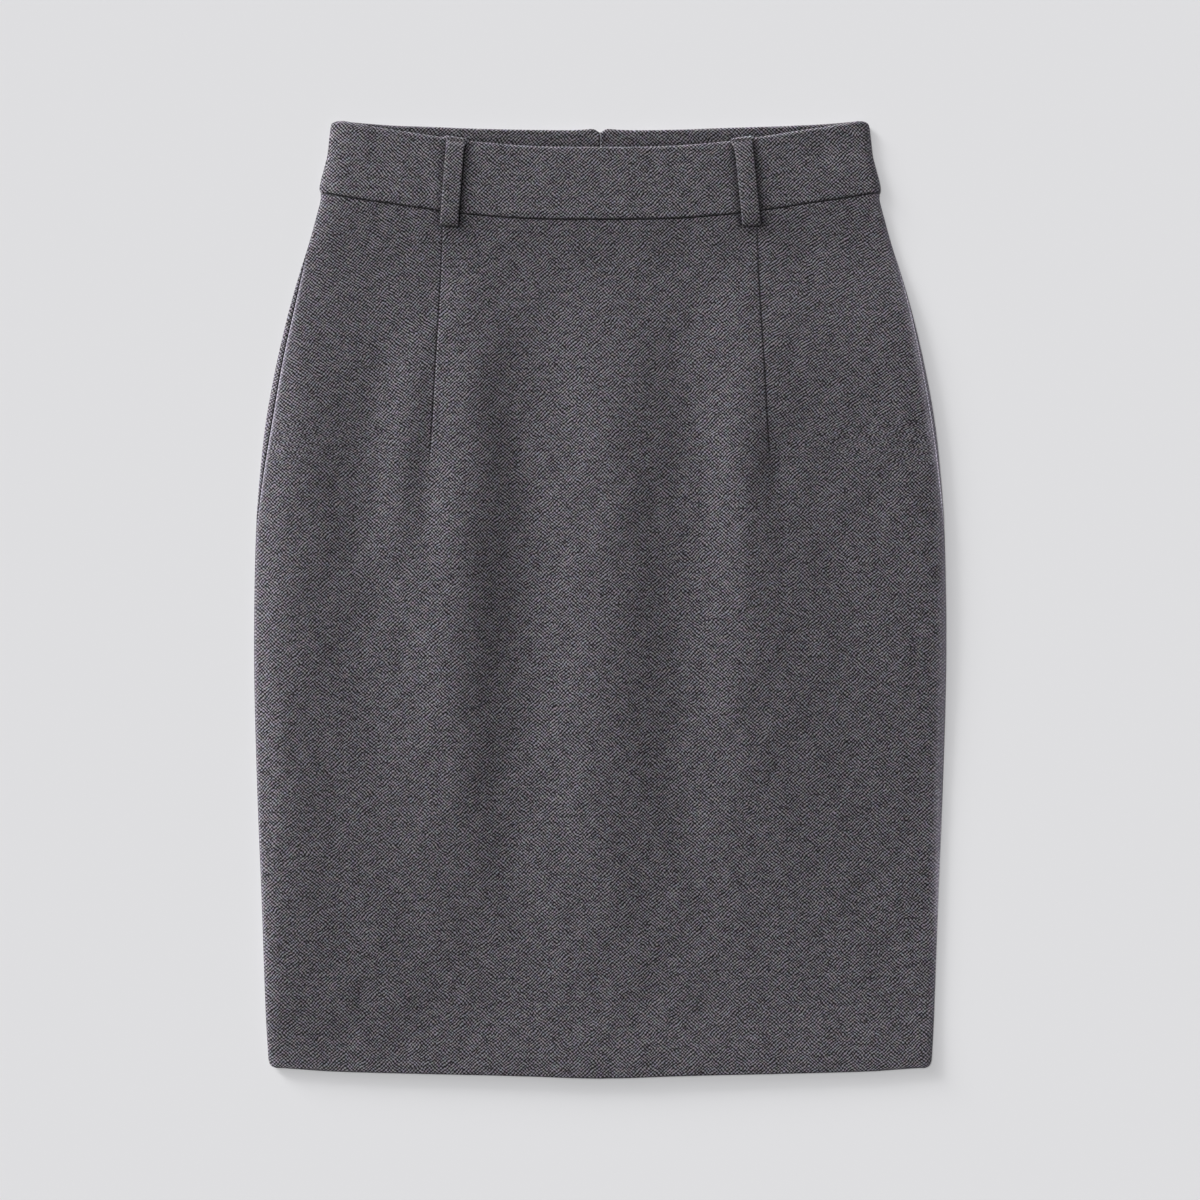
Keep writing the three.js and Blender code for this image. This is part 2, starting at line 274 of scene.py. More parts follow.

# How a loop looks: painted shadow at its top fold, its lower end and its right edge, and a painted highlight
# at its left edge and where it bends
LOOP_TOP_SHADOW = {"share": 0.9, "reach": 1.1}
LOOP_END_SHADOW = {"share": 0.5, "reach": 0.6}
LOOP_RIGHT_SHADOW = {"share": 0.4, "reach": 0.4}
LOOP_LEFT_HIGHLIGHT = {"left": 0.25, "right": 0.12, "reach": 1.5}
LOOP_BEND_HIGHLIGHT = {"share": 0.3, "down": 3, "reach": 2}

# How dark the painted shadow is on the cloth on the inner and outer side of each loop, how far out, and past
# its ends
LOOP_SHADOW = {"left": {"inner": 0.7, "outer": 0.55}, "right": {"inner": 0.75, "outer": 0.7}}
LOOP_SHADOW_REACH = 3.6
LOOP_SHADOW_END_REACH = 0.8

# At the waist seam: how far each piece is drawn in and how dark its painted shade is, and how far each of
# them reaches
WAIST_SEAM = {
    "front_panel": {"drawn": 0.7, "reach": 0.7, "dark": 0.7, "painted_shade_reach": 0.4},
    "back_panel": {"drawn": 0.6, "reach": 1.3, "dark": 0.7, "painted_shade_reach": 0.4},
    "front_band": {"drawn": 0.6, "reach": 0.5, "dark": 0.6, "painted_shade_reach": 0.35},
    "back_band": {"drawn": 0.6, "reach": 1.3, "dark": 0.7, "painted_shade_reach": 0.4},
}

# Painted highlight on the front panel's fold at the hip strip and on the band's top edge, more over the
# loops, and painted shade on the back panel's side edge and on the back band behind the front band
STRIP_FOLD_HIGHLIGHT = {"left": 1.8, "right": 1.3, "reach": 1.7, "full": 2}
BAND_LIP_HIGHLIGHT = {"share": 0.18, "over_loop": 0.37, "reach": 1.1}
BACK_SIDE_SHADE = {"share": 0.3, "reach": 0.3}
BEHIND_FRONT_SHADE = {"share": 0.36, "reach": 2.5}

# Soft unevenness of a face: how high its waves are, about how long, and their random seed
WAVES = 7
PANEL_WAVES = [{"height": 0.12, "size": 30, "seed": 3}, {"height": 0.05, "size": 11, "seed": 4}]
BAND_WAVES = [{"height": 0.1, "size": 26, "seed": 8}]

# The back hem is shorter over its last rows, away from the sides
HEM_TUCK = {"rows": 60, "begin": 60, "end": 10}

# Which diagonal of the knit shows more: below 0 the rising one, above 0 the falling one. The band and the
# panel's top have TOP_SLANT, with more of the rising one to the right of each dart.
PANEL_SLANT = -0.035
TOP_SLANT = table(("across", "slant"), [
    (-190, 0.02),
    (-115, 0.05),
    (-60, -0.03),
    (0, -0.06),
    (190, -0.06),
])
TOP_SLANT_FADE = {"begin": 130, "full": 270}
BESIDE_DART_SLANT = {"slant": -0.11, "begin": -1, "full": 2, "reach": 34}

# Steps away from an edge, fine where the cloth turns over, and rows between the edges
EDGE_STEPS = np.array([0, 0.05, 0.14, 0.28, 0.48, 0.75, 1.1, 1.6, 2.4, 3.6, 5.4])
PANEL_STEP = 2.85
BAND_STEP = 1.3

# Columns: the cells of each stretch across a piece, the first steps away from the centre back, and how the
# columns of a rolled side crowd towards its seam
FRONT_PANEL_CELLS = [34, 9, 9, 36, 36, 9, 9, 38]
FRONT_PANEL_ROLL_CELLS = 13
FRONT_BAND_CELLS = [26, 14, 38, 38, 14, 28]
FRONT_BAND_ROLL_CELLS = 12
BACK_PANEL_STEPS = (0, 0.15, 0.5, 1.2, 3)
BACK_PANEL_CELLS = [2, 2, 2, 2, 70]
BACK_BAND_STEPS = (0, 0.2, 0.8, 2.4, 6, 20)
BACK_BAND_CELLS = [2, 3, 4, 4, 8, 56]
BACK_ROLL_CELLS = 8
FRONT_CROWDING = 1.6
BACK_STRIP_EVEN = 0.92
BACK_STRIP_END = [0.96, 0.985, 1]
LOOP_LENGTH_CELLS = 96
LOOP_WIDTH_CELLS = 24


def read(rows, key, column, place):
    """Reads one column of a table at many places, with a smooth curve through its rows."""
    keys = np.array([row[key] for row in rows], float)
    values = np.array([row[column] for row in rows], float)
    before = np.maximum(np.arange(len(keys)) - 1, 0)
    after = np.minimum(np.arange(len(keys)) + 1, len(keys) - 1)
    slopes = (values[after] - values[before]) / (keys[after] - keys[before])
    place = np.asarray(place, float)
    i = np.clip(np.searchsorted(keys, place) - 1, 0, len(keys) - 2)
    span = keys[i + 1] - keys[i]
    t = np.clip((place - keys[i]) / span, 0, 1)
    ease = t * t * (3 - 2 * t)
    leave = t * (1 - t) ** 2 * span * slopes[i]
    arrive = t * t * (1 - t) * span * slopes[i + 1]
    return values[i] + (values[i + 1] - values[i]) * ease + leave - arrive


def smooth(value, start, end):
    """0 before start, 1 after end, and an even curve between them."""
    t = np.clip((value - start) / (end - start), 0, 1)
    return t * t * (3 - 2 * t)


def blend(a, b, share):
    """a where share is 0 and b where it is 1."""
    return a + (b - a) * share


def bell(distance, reach):
    """1 at no distance, falling in a bell's shape on both sides."""
    return np.exp(-((distance / reach) ** 2))


def fading(distance, reach):
    """1 at no distance, fading away from there."""
    return np.exp(-(distance / reach))


def between(stops, cells):
    """Columns between stops, one row of places for each section, each stretch cut into its cells."""
    columns = [stops[0]]
    for start, end, count in zip(stops, stops[1:], cells):
        columns += [blend(start, end, (k + 1) / count) for k in range(count)]
    return np.stack(columns, axis=1)


def edged_rows(first, last, step):
    """Rows from one edge to the other, fine at both edges."""
    reach = EDGE_STEPS[-1]
    count = round((last - first - 2 * reach) / step)
    middle = np.linspace(first + reach, last - reach, count + 1)
    return np.concatenate([first + EDGE_STEPS[:-1], middle, last - EDGE_STEPS[-2::-1]])


def ripple(x, y, size, seed):
    """Soft uneven waves of about the given size, between -1 and 1."""
    rng = np.random.default_rng(seed)
    total = np.zeros(np.broadcast(x, y).shape)
    for turn, phase, scale in rng.random((WAVES, 3)):
        angle = turn * math.tau
        wave = math.tau / (size * (0.7 + 0.8 * scale))
        total += np.sin((x * math.cos(angle) + y * math.sin(angle)) * wave + phase * math.tau)
    return total / (WAVES / 2)


def uneven(x, y, waves):
    """The soft unevenness of a face, all its waves together."""
    return sum(wave["height"] * ripple(x, y, wave["size"], wave["seed"]) for wave in waves)


def half_width(down):
    """Half the skirt's width at a place down its side."""
    return read(OUTLINE, "down", "half", down)


def fall(x, down, lies):
    """How far a row's line lies below its end at the side."""
    out = np.minimum(np.abs(x) / (half_width(down) - LEVEL_REACH), 1)
    below = np.clip((down - BAND_HEIGHT) / (SIDE_LENGTH - BAND_HEIGHT), 0, 1)
    left, right = (read(WAIST_LINE, "out", f"{lies}_{hand}", out) for hand in ("left", "right"))
    dip = WAIST_DIP[lies] * (1 - np.where(x < 0, left, right)) * (1 - below) ** 2
    return dip + HEM_RISE * read(HEM_LINE, "out", "low", out) * below**3


def panel_face(x, down):
    """Height of the front panel's outer face, with its folds and the dimples under the darts."""
    z = np.full(np.broadcast(x, down).shape, REST_HEIGHT)
    for fold in FOLDS:
        from_crest = x - fold["across"] - fold["drift"] * (down - HIP_LEVEL) / 100
        reach = np.where(from_crest < 0, fold["left"], fold["right"])
        fade_in = smooth(down, fold["start"], fold["start"] + fold["in"])
        fade_out = 1 - smooth(down, fold["end"] - fold["out"], fold["end"])
        z = z + fold["height"] * fade_in * fade_out * bell(from_crest, reach)
    dimple_down = (down - DART_DIMPLE["down"]) / DART_DIMPLE["stretch"]
    away = np.hypot(np.abs(x) - DART_DIMPLE["out"], dimple_down)
    z = z - DART_DIMPLE["depth"] * bell(away, DART_DIMPLE["spread"])
    near_hem = smooth(down, SIDE_LENGTH - ABOVE_HEM["full"], SIDE_LENGTH - ABOVE_HEM["begin"])
    near_band = 1 - smooth(down, BAND_HEIGHT + BELOW_BAND["begin"], BAND_HEIGHT + BELOW_BAND["full"])
    bulge = BULGE * (1 - BULGE_EASE["share"] * smooth(down, BULGE_EASE["begin"], BULGE_EASE["full"]))
    return blend(blend(z, HEM_FACE, near_hem), WAIST_FACE, near_band) - bulge * (x / BULGE_OUT) ** 2


def band_face(x, down):
    """Height of the front band's outer face, which sinks a little at its top right corner."""
    to_right = smooth(x, TOP_CORNER["begin"], TOP_CORNER["full"])
    corner = to_right * (1 - smooth(down, TOP_CORNER["level"], TOP_CORNER["end"]))
    return BAND_FACE - BULGE * (x / BULGE_OUT) ** 2 - TOP_CORNER["sink"] * corner


def at_dart(x, down, ending=""):
    """One column of the darts' table: the left dart's in the left half, the right dart's in the right."""
    left, right = (read(FRONT_DART, "down", hand + ending, down) for hand in ("left", "right"))
    return np.maximum(np.where(x < 0, left, right), 0)


def dart_crease(x, down):
    """Depth of the crease that a dart's seam draws in the panel, with the slight hollow beside it."""
    away = np.abs(np.abs(x) - read(FRONT_DART, "down", "out", down))
    hollow = CREASE_HOLLOW["share"] * bell(away, CREASE_HOLLOW["reach"])
    return at_dart(x, down) * (bell(away, CREASE_SPREAD) + hollow)


def seam_angle(down, hand):
    """Where the side seam lies on the roll, from the width of the back's strip that shows."""
    strip = np.maximum(read(HIP_STRIP, "down", hand, down), 0)
    return np.maximum(np.arccos(1 - strip / read(PANEL_ROLL[hand], "down", "above", down)), PLAIN_SEAM)


def side_of(hand):
    """The sign of X on a side."""
    return -1 if hand == "left" else 1


def side_level(half, down, above, cloth, hand, face):
    """Height of the outermost line of a rolled side, row by row."""
    roll = cloth["roll"][hand]
    flat = face(side_of(hand) * (half - above), down)
    lowest = read(roll, "down", "least", down)
    return np.maximum(flat - read(roll, "down", "rise", down), lowest)[:, None]


def roll_above(down, hand, angle, cloth, face, lies, shift):
    """Columns on the rolled side above its outermost line, moved along it by a share of the seam's gap."""
    half, side, thick = half_width(down), side_of(hand), cloth["thick"]
    above = read(cloth["roll"][hand], "down", "above", down)
    middle = side_level(half, down, above, cloth, hand, face)
    above = above[:, None]
    reach = half[:, None] - above
    x = reach + above * np.cos(angle)
    rows = down[:, None] * np.ones_like(x)
    rise = face(side * x, rows + fall(x, rows, lies)) - middle
    along = np.stack([-above * np.sin(angle), rise * np.cos(angle)])
    along = shift * along / np.linalg.norm(along, axis=0)
    outer = (side * (x + along[0]), middle + rise * np.sin(angle) + along[1])
    inner_x = reach + (above - thick) * np.cos(angle) + along[0]
    inner = (side * inner_x, middle + (rise - thick) * np.sin(angle) + along[1])
    return outer, inner, np.sin(angle)


def roll_below(down, hand, cells, cloth, face):
    """Columns on the rolled side below its outermost line, from the floor up."""
    half, side, thick, below = half_width(down), side_of(hand), cloth["thick"], cloth["below"]
    angle = np.linspace(-math.pi / 2, 0, cells + 1)[None, :] * np.ones((len(half), 1))
    above = read(cloth["roll"][hand], "down", "above", down)
    middle = side_level(half, down, above, cloth, hand, face)
    reach = half[:, None] - below
    outer = (side * (reach + below * np.cos(angle)), middle * (1 + np.sin(angle)))
    inner_x = reach + (below - thick) * np.cos(angle)
    inner = (side * inner_x, middle + (middle - thick) * np.sin(angle))
    return outer, inner, -np.sin(angle)


def joined(parts):
    """Joins groups of columns into one grid for the outer face, one for the inner, and the flatness."""
    outer = [np.concatenate([part[0][k] for part in parts], axis=1) for k in (0, 1)]
    inner = [np.concatenate([part[1][k] for part in parts], axis=1) for k in (0, 1)]
    return outer, inner, np.concatenate([part[2] for part in parts], axis=1)


def reversed_columns(part):
    """The same columns in the other order."""
    (outer_x, outer_z), (inner_x, inner_z), flatness = part
    outer = (outer_x[:, ::-1], outer_z[:, ::-1])
    return outer, (inner_x[:, ::-1], inner_z[:, ::-1]), flatness[:, ::-1]


def front_columns(down, places, cells, cloth, face, seams):
    """A front piece's columns from the left side to the right."""
    rows = down[:, None] * np.ones_like(places)
    z = face(places, rows + fall(places, rows, "front"))
    flat = ((places, z), (places, z - cloth["thick"]), np.ones_like(places))
    share = np.linspace(0, 1, cells + 1)[None, :-1] ** FRONT_CROWDING
    parts = []
    for hand, seam in zip(("left", "right"), seams):
        angle = blend(seam[:, None], math.pi / 2, share)
        shift = SEAM_GAP / 2 * (1 - share)
        parts.append(roll_above(down, hand, angle, cloth, face, "front", shift))
    return joined([parts[0], flat, reversed_columns(parts[1])])


def back_columns(down, hand, floor_places, cells, cloth, face, seam):
    """A back piece's columns from the centre-back seam round to its side seam."""
    flat_z = np.zeros_like(floor_places)
    places = side_of(hand) * floor_places
    flat = ((places, flat_z), (places, flat_z + cloth["thick"]), flat_z + 1)
    below = roll_below(down, hand, cells, cloth, face)
    share = np.append(np.linspace(0, BACK_STRIP_EVEN, cells - 2)[1:], BACK_STRIP_END)[None, :]
    shift = -SEAM_GAP / 2 * share
    strip = roll_above(down, hand, seam[:, None] * share, cloth, face, "back", shift)
    return joined([flat, below, strip])


def turned_edge(distance, radius):
    """Share of its thickness that cloth keeps at a distance from an edge where it turns over."""
    t = np.clip(distance / radius, 0, 1)
    return np.maximum(np.sqrt(1 - (1 - t) ** 2), LEAST_EDGE)


def painted_rim_highlight(x, z, rows, cloth):
    """How much a painted highlight lightens the upper part of a rolled side."""
    inside = half_width(rows) - np.abs(x)
    rim_highlight = 0 * inside
    for hand, roll in cloth["roll"].items():
        reach = read(roll, "down", "reach", rows)
        rim = read(roll, "down", "rim_light", rows) * bell(inside, reach)
        rim_highlight = rim_highlight + np.where(x * side_of(hand) > 0, rim, 0)
    return rim_highlight * smooth(z, RIM_LIGHT_FADE["begin"], RIM_LIGHT_FADE["full"])


def seam_drawn(piece, away):
    """How far a piece's face is drawn in at a distance from the waist seam."""
    return WAIST_SEAM[piece]["drawn"] * fading(away, WAIST_SEAM[piece]["reach"])


def seam_shade(piece, away):
    """How much painted shade darkens a piece at a distance from the waist seam."""
    return WAIST_SEAM[piece]["dark"] * fading(away, WAIST_SEAM[piece]["painted_shade_reach"])


def measured(outer, start_column, start_row):
    """Places on the cloth itself, measured along its outer face from one column and one row."""
    across = np.cumsum(np.linalg.norm(np.diff(outer, axis=1, prepend=outer[:, :1]), axis=2), axis=1)
    along = np.cumsum(np.linalg.norm(np.diff(outer, axis=0, prepend=outer[:1]), axis=2), axis=0)
    way = 1 if outer[0, -1, 0] > 0 else -1
    across = outer[:, start_column, 0][:, None] + way * (across - across[:, start_column][:, None])
    along = outer[start_row, :, 1][None, :] - (along - along[start_row, :][None, :])
    return across, along


def cloth_wall(name, down, columns, lies, cloth, options):
    """A closed wall of cloth between its outer and inner faces, with its edges turned over.

    options: how far the rows' ends are raised, how far the face is drawn in, where painted shade darkens it
    and painted highlights lighten it, how the knit runs and which of its diagonals shows.
    """
    (outer_x, outer_z), (inner_x, inner_z), flatness = columns
    rows = down[:, None] * np.ones_like(outer_x)
    y = TOP_LEVEL - rows - fall(outer_x, rows, lies)
    y = y + options["raise"](outer_x, rows)
    inward = np.sign(inner_z - outer_z) * flatness
    outer_z = outer_z + inward * options["drawn"](outer_x, TOP_LEVEL - y, rows)
    steps = np.hypot(np.diff(outer_x, axis=1), np.diff(outer_z, axis=1))
    from_left = np.concatenate([np.zeros((len(down), 1)), np.cumsum(steps, axis=1)], axis=1)
    from_right = from_left[:, -1:] - from_left
    from_side = np.minimum(from_left, from_right)
    keep = turned_edge(rows - down[0], cloth["first"]) * turned_edge(down[-1] - rows, cloth["last"])
    keep = keep * turned_edge(from_side, cloth["side"])
    # Painted shade where above 0 and painted highlight where below 0; the rims' painted highlight is taken
    # off next
    painted_shading = options["painted_shading"](outer_x, TOP_LEVEL - y, rows, from_side)
    painted_shading = painted_shading - painted_rim_highlight(outer_x, outer_z, rows, cloth)
    outer = np.stack([outer_x, y, outer_z], axis=2)
    inner = np.stack([inner_x, y, inner_z], axis=2)
    middle = (outer + inner) / 2
    outer = middle + (outer - middle) * keep[:, :, None]
    inner = middle + (inner - middle) * keep[:, :, None]
    looks = {"painted_shading": painted_shading, "slant": options["slant"](outer_x, y)}
    middle_column = int(np.abs(outer_x[0]).argmin())
    on_cloth = measured(outer, middle_column, len(down) // 2)
    return wall_mesh(name, outer, inner, on_cloth, looks, options["grain"])


def wall_mesh(name, outer, inner, on_cloth, looks, grain):
    """Makes the mesh of a wall from its two grids of points, with its looks and a map of its knit."""
    rows, width = outer.shape[:2]
    under = rows * width
    start = (np.arange(rows - 1)[:, None] * width + np.arange(width - 1)[None, :]).ravel()
    top = np.stack([start, start + width, start + width + 1, start + 1], axis=1)
    bottom = under + np.stack([start, start + 1, start + width + 1, start + width], axis=1)
    down_left = np.arange(rows) * width
    along_end = (rows - 1) * width + np.arange(1, width)
    up_right = down_left[-2::-1] + width - 1
    along_start = np.arange(width - 2, 0, -1)
    rim = np.concatenate([down_left, along_end, up_right, along_start])
    after = np.roll(rim, -1)
    sides = np.stack([after, rim, under + rim, under + after], axis=1)
    faces = np.concatenate([top, bottom, sides])
    points = np.concatenate([outer.reshape(-1, 3), inner.reshape(-1, 3)])
    corners = points[faces]
    normals = np.cross(corners[:, 2] - corners[:, 0], corners[:, 3] - corners[:, 1])
    if (corners[:, 0] * normals).sum() < 0:
        faces = faces[:, ::-1]
    mesh = bpy.data.meshes.new(name)
    mesh.from_pydata((points * MM).tolist(), [], faces.tolist())
    mesh.polygons.foreach_set("use_smooth", np.ones(len(faces), bool))
    cloth_map = mesh.uv_layers.new(name="knit")
    centres = points[faces].mean(axis=1)
    across, along = (np.tile(places.ravel(), 2)[faces.ravel()] for places in on_cloth)
    spots = grain(across, along, np.repeat(centres, 4, axis=0))
    cloth_map.uv.foreach_set("vector", (np.stack(spots, axis=1) * MM).astype(np.float32).ravel())
    for look, values in looks.items():
        values = np.tile(np.broadcast_to(values, outer.shape[:2]).ravel(), 2)
        mesh.attributes.new(look, "FLOAT", "POINT").data.foreach_set("value", values.astype(np.float32))
    mesh.update()
    piece = bpy.data.objects.new(name, mesh)
    bpy.context.scene.collection.objects.link(piece)
    return piece


def straight_grain(x, y, centres):
    """The knit runs straight up the piece."""
    return x, y


def darted_grain(x, y, centres):
    """Outside a dart the knit is turned about the dart's tip, because the dart takes cloth in."""
    tip_y = TOP_LEVEL - DART_TIP["down"]
    side = np.sign(centres[:, 0])
    outside = np.abs(centres[:, 0]) > read(FRONT_DART, "down", "out", TOP_LEVEL - centres[:, 1])
    share = np.where(outside, 1.0, 0.0) * smooth(centres[:, 1], tip_y, tip_y + DART_TURN["fade"])
    angle = DART_TURN["angle"] * share * side
    from_x = x - side * DART_TIP["out"]
    from_y = y - tip_y
    turned_x = side * DART_TIP["out"] + from_x * np.cos(angle) - from_y * np.sin(angle)
    turned_y = tip_y + from_x * np.sin(angle) + from_y * np.cos(angle)
    return turned_x, turned_y


def none(x, y):
    """No change anywhere."""
    return 0 * x


def band_slant(x, y):
    """How the diagonals of the band's knit show across it."""
    return read(TOP_SLANT, "across", "slant", x)


def panel_slant(x, y):
    """The panel's top is like the band, and the rising diagonal shows most to the right of each dart."""
    down = TOP_LEVEL - y
    from_dart = x - np.where(x < 0, -1, 1) * read(FRONT_DART, "down", "out", down)
    to_right = smooth(from_dart, BESIDE_DART_SLANT["begin"], BESIDE_DART_SLANT["full"])
    away = fading(np.maximum(from_dart, 0), BESIDE_DART_SLANT["reach"])
    beside = BESIDE_DART_SLANT["slant"] * to_right * away
    below = smooth(down, TOP_SLANT_FADE["begin"], TOP_SLANT_FADE["full"])
    return blend(band_slant(x, y) + beside, PANEL_SLANT, below)


def loop_shadows(x, below):
    """How dark the painted shadow is beside the belt loops and under their ends."""
    along = (below - LOOP_TOP["down"]) / (LOOP_END["down"] - LOOP_TOP["down"])
    left, right = (blend(LOOP_TOP[hand], LOOP_END[hand], along) for hand in ("left", "right"))
    from_middle = x - np.where(x < 0, -left, right)
    from_edge = np.maximum(np.abs(from_middle) - LOOP_WIDTH / 2, 0)
    beyond = np.maximum(below - LOOP_END["down"], LOOP_TOP["down"] - below)
    to_left = np.where(x < 0, LOOP_SHADOW["left"]["outer"], LOOP_SHADOW["left"]["inner"])
    to_right = np.where(x < 0, LOOP_SHADOW["right"]["inner"], LOOP_SHADOW["right"]["outer"])
    depth = np.where(from_middle > 0, to_right, to_left)
    return depth * bell(from_edge, LOOP_SHADOW_REACH) * fading(np.maximum(beyond, 0), LOOP_SHADOW_END_REACH)


def front_panel():
    """The front panel, with its darts, folds and the roll into the waist seam."""
    down = edged_rows(BAND_HEIGHT + SEAM_GAP / 2, SIDE_LENGTH, PANEL_STEP)
    half = half_width(down)
    dart = read(FRONT_DART, "down", "out", down)
    near_dart = [dart - CREASE_REACH, dart, dart + CREASE_REACH]
    reach = {hand: half - read(PANEL_ROLL[hand], "down", "above", down) for hand in PANEL_ROLL}
    left = [-reach["left"]] + [-place for place in near_dart[::-1]]
    right = near_dart + [reach["right"]]
    places = between(left + [0 * dart] + right, FRONT_PANEL_CELLS)
    seams = [seam_angle(down, "left"), seam_angle(down, "right")]
    columns = front_columns(down, places, FRONT_PANEL_ROLL_CELLS, PANEL_CLOTH, panel_face, seams)

    def drawn(x, below, rows):
        at_seam = seam_drawn("front_panel", rows - down[0])
        return at_seam + dart_crease(x, below) + uneven(x, below, PANEL_WAVES)

    # Painted shade along the darts, at the waist seam and beside the loops, less a painted highlight on the
    # fold at the hip strip
    def painted_shading(x, below, rows, from_side):
        away = np.abs(np.abs(x) - read(FRONT_DART, "down", "out", below))
        dart_shade = at_dart(x, below, "_dark") * bell(away, CREASE_SHADE_REACH)
        at_seam = seam_shade("front_panel", rows - down[0])
        left_strip, right_strip = (read(HIP_STRIP, "down", hand, rows) for hand in ("left", "right"))
        strip = smooth(np.where(x < 0, left_strip, right_strip), 0, STRIP_FOLD_HIGHLIGHT["full"])
        fold_highlight = np.where(x < 0, STRIP_FOLD_HIGHLIGHT["left"], STRIP_FOLD_HIGHLIGHT["right"]) * strip
        fold_highlight = fold_highlight * bell(from_side, STRIP_FOLD_HIGHLIGHT["reach"])
        return np.maximum(np.maximum(dart_shade, at_seam), loop_shadows(x, below)) - fold_highlight

    options = {
        "raise": none,
        "drawn": drawn,
        "painted_shading": painted_shading,
        "grain": darted_grain,
        "slant": panel_slant,
    }
    return cloth_wall("front_panel", down, columns, "front", PANEL_CLOTH, options)


def back_panel(name, hand):
    """A back panel, flat on the floor, with its side rolled up to the front."""
    down = edged_rows(BAND_HEIGHT + SEAM_GAP / 2, SIDE_LENGTH, PANEL_STEP)
    half = half_width(down)
    first = 0 * half + SEAM_GAP / 2
    stops = [first + step for step in BACK_PANEL_STEPS] + [half - PANEL_CLOTH["below"]]
    places = between(stops, BACK_PANEL_CELLS)[:, :-1]
    seam = seam_angle(down, hand)
    columns = back_columns(down, hand, places, BACK_ROLL_CELLS, PANEL_CLOTH, panel_face, seam)

    def raised(x, rows):
        at_hem = BACK_SHORTER * smooth(rows, SIDE_LENGTH - HEM_TUCK["rows"], SIDE_LENGTH)
        width = half_width(rows)
        return at_hem * (1 - smooth(np.abs(x), width - HEM_TUCK["begin"], width - HEM_TUCK["end"]))

    def drawn(x, below, rows):
        return seam_drawn("back_panel", rows - down[0])

    # Painted shade at the waist seam and along the side edge
    def painted_shading(x, below, rows, from_side):
        side_shade = BACK_SIDE_SHADE["share"] * fading(from_side, BACK_SIDE_SHADE["reach"])
        return np.maximum(seam_shade("back_panel", rows - down[0]), side_shade)

    options = {"raise": raised, "drawn": drawn, "painted_shading": painted_shading, "grain": straight_grain, "slant": none}
    return cloth_wall(name, down, columns, "back", PANEL_CLOTH, options)


def band_rows():
    """The band's rows from its top edge to the waist seam."""
    return edged_rows(0, BAND_HEIGHT - SEAM_GAP / 2, BAND_STEP)


def front_band():
    """The front waistband, with a bump over each belt loop's end."""
    down = band_rows()
    seam = 0 * down + PLAIN_SEAM
    half, soft = LOOP_BUMP["half"], LOOP_BUMP["blend"]
    ends = (-half - soft, half + soft)
    bump = {hand: [0 * down + LOOP_TOP[hand] + out for out in ends] for hand in BAND_ROLL}
    reach = {hand: half_width(down) - read(BAND_ROLL[hand], "down", "above", down) for hand in BAND_ROLL}
    left = [-reach["left"], -bump["left"][1], -bump["left"][0]]
    right = bump["right"] + [reach["right"]]
    places = between(left + [0 * down] + right, FRONT_BAND_CELLS)
    columns = front_columns(down, places, FRONT_BAND_ROLL_CELLS, BAND_CLOTH, band_face, [seam, seam])

    def over_loop(x):
        away = np.minimum(np.abs(x + LOOP_TOP["left"]), np.abs(x - LOOP_TOP["right"]))
        return 1 - smooth(away, half, half + soft)

    def raised(x, rows):
        return LOOP_BUMP["height"] * over_loop(x) * np.maximum(1 - rows / NOTCH_FADE, 0)

    def drawn(x, below, rows):
        return seam_drawn("front_band", down[-1] - rows) + uneven(x, below, BAND_WAVES)

    # Painted shade at the waist seam and beside the loops, less a painted highlight along the top edge
    def painted_shading(x, below, rows, from_side):
        lip_highlight = (BAND_LIP_HIGHLIGHT["share"] + BAND_LIP_HIGHLIGHT["over_loop"] * over_loop(x)) * bell(rows, BAND_LIP_HIGHLIGHT["reach"])
        return np.maximum(seam_shade("front_band", down[-1] - rows), loop_shadows(x, below)) - lip_highlight

    options = {
        "raise": raised,
        "drawn": drawn,
        "painted_shading": painted_shading,
        "grain": straight_grain,
        "slant": band_slant,
    }
    return cloth_wall("front_waistband", down, columns, "front", BAND_CLOTH, options)


def back_band(name, hand):
    """Half of the back waistband, with its inner face up and a rounded corner at the centre back."""
    down = band_rows()
    half = half_width(down)
    first = 0 * half + SEAM_GAP / 2
    stops = [first + step for step in BACK_BAND_STEPS] + [half - BAND_CLOTH["below"]]
    places = between(stops, BACK_BAND_CELLS)[:, :-1]
    seam = 0 * down + PLAIN_SEAM
    outer, inner, flatness = back_columns(down, hand, places, BACK_ROLL_CELLS, BAND_CLOTH, band_face, seam)
    away = half[:, None] - np.abs(outer[0])
    lift = BACK_FACE_LIFT["height"] * (1 - smooth(down, 0, BACK_FACE_LIFT["reach"]))[:, None]
    inner[1] = inner[1] + lift * smooth(away, BACK_FACE_LIFT["begin"], BACK_FACE_LIFT["full"])
    columns = (outer, inner, flatness)

    def raised(x, rows):
        rise = read(BACK_NOTCH, "out", "rise", np.abs(x))
        return rise * np.maximum(1 - rows / NOTCH_FADE, 0)

    def drawn(x, below, rows):
        return seam_drawn("back_band", down[-1] - rows)

    # Painted shade on the inner face just behind the front band's top edge, and at the waist seam
    def painted_shading(x, below, rows, from_side):
        from_front = below - fall(x, 0 * x, "front")
        front_edge_shade = BEHIND_FRONT_SHADE["share"] * bell(from_front, BEHIND_FRONT_SHADE["reach"])
        return np.maximum(front_edge_shade, seam_shade("back_band", down[-1] - rows))

    options = {"raise": raised, "drawn": drawn, "painted_shading": painted_shading, "grain": straight_grain, "slant": none}
    return cloth_wall(name, down, columns, "back", BAND_CLOTH, options)


